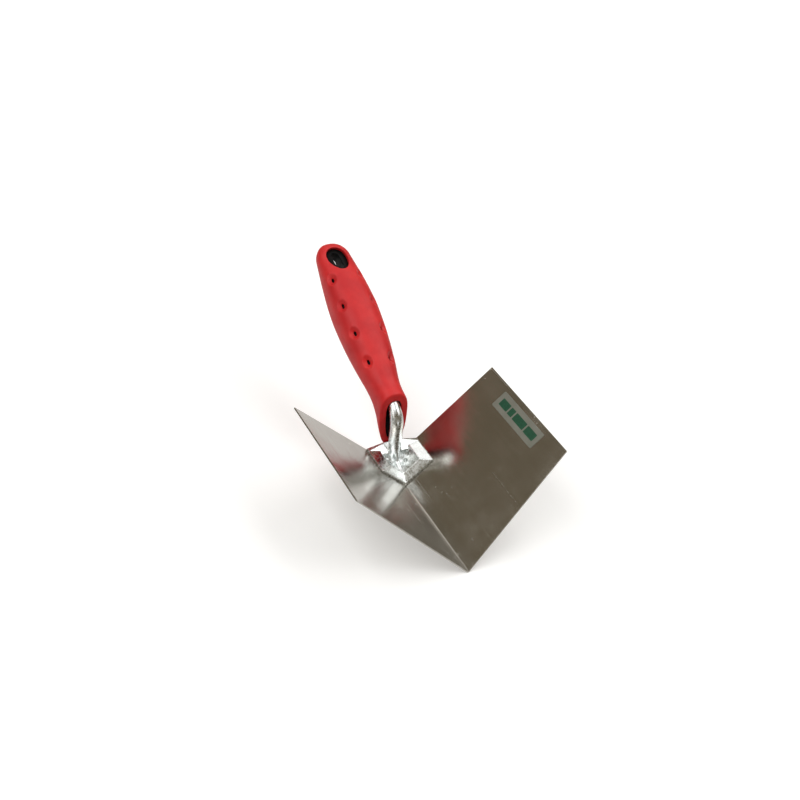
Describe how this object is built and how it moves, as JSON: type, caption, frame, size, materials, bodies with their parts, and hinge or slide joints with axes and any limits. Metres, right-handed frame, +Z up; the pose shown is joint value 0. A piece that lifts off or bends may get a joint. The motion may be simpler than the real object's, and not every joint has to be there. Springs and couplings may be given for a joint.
{
  "type": "inside corner trowel",
  "caption": "V-shaped steel blade with a cast saddle and bent stem on its bend and a soft grip rising behind it, for smoothing inside wall corners.",
  "frame": {"origin": "middle of the whole trowel's bounding box, on the surface that it stands on, under the bend", "axes": "+X along the blade's bend towards the front tip, +Y towards the right wing, +Z up in the plane of symmetry"},
  "size_m": [0.2044, 0.1234, 0.0921],
  "materials": {
    "blade_steel": "polished sheet, fine rolling marks",
    "cast_metal": "bright die-cast, lightly mottled",
    "rivet_steel": "ground flush",
    "core_plastic": "satin moulded",
    "grip_rubber": "satin moulded soft grip",
    "label_film": "satin printed film"
  },
  "bodies": {
    "root": {"blade": "blade_steel", "shank": "cast_metal", "rivet_right_back": "rivet_steel", "rivet_left_back": "rivet_steel", "rivet_right_front": "rivet_steel", "rivet_left_front": "rivet_steel", "handle_core": "core_plastic", "grip": "grip_rubber", "label": "label_film"}
  },
  "joints": []
}
